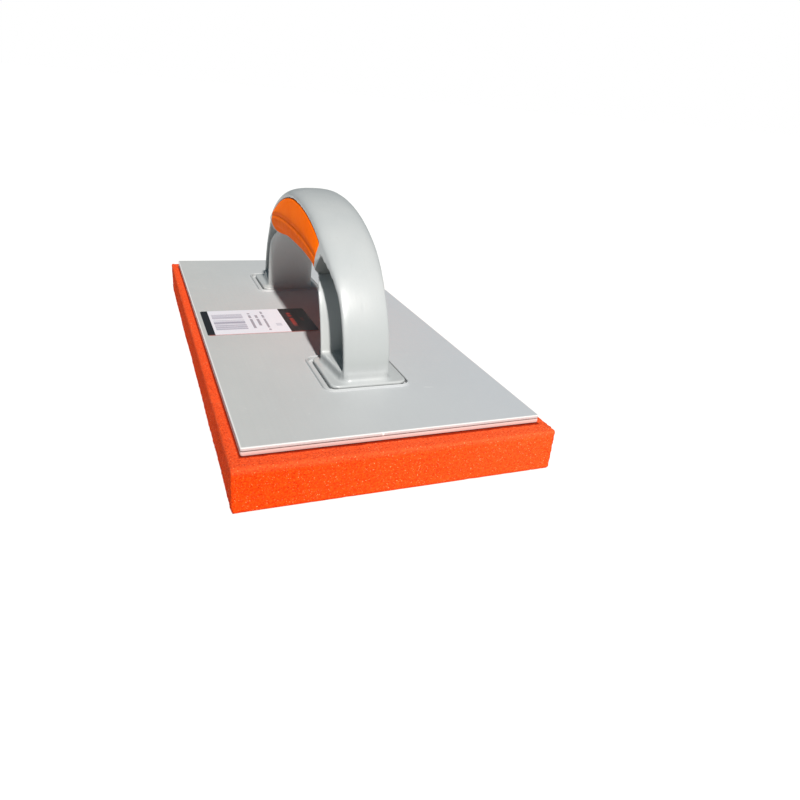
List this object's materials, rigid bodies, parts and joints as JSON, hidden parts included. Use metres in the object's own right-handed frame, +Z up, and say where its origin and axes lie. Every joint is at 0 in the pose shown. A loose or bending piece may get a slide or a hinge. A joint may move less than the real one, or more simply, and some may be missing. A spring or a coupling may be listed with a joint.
{
  "type": "grout float",
  "caption": "Hand float for washing down and finishing tile grout: a thick sponge pad bonded under a flat plastic plate, with a bridge handle and a soft grip insert screwed on top.",
  "frame": {"origin": "middle of the sponge pad's working face, which is the lowest plane of the float", "axes": "+Z up from the working face to the handle, +Y along the float's length and the handle, +X across the float, away from the printed label"},
  "size_m": [0.139, 0.296, 0.0961],
  "materials": {
    "orange_sponge": "fine open-cell foam, matte",
    "glue": "thin dried contact glue",
    "grey_sheet": "satin sheet plastic",
    "printed_label": "printed film with plain white, black and red blocks",
    "light_grey_plastic": "moulded, satin to glossy",
    "orange_soft_plastic": "soft-touch, satin",
    "zinc_steel": "zinc plated"
  },
  "bodies": {
    "root": {"sponge_pad": "orange_sponge", "pad_adhesive": "glue", "carrier_sheet": "grey_sheet", "sheet_adhesive": "glue", "backing_plate": "grey_sheet", "product_label": "printed_label", "handle_body": "light_grey_plastic", "soft_grip": "orange_soft_plastic", "handle_screw_1": "zinc_steel", "handle_screw_2": "zinc_steel", "handle_screw_3": "zinc_steel", "handle_screw_4": "zinc_steel"}
  },
  "joints": []
}
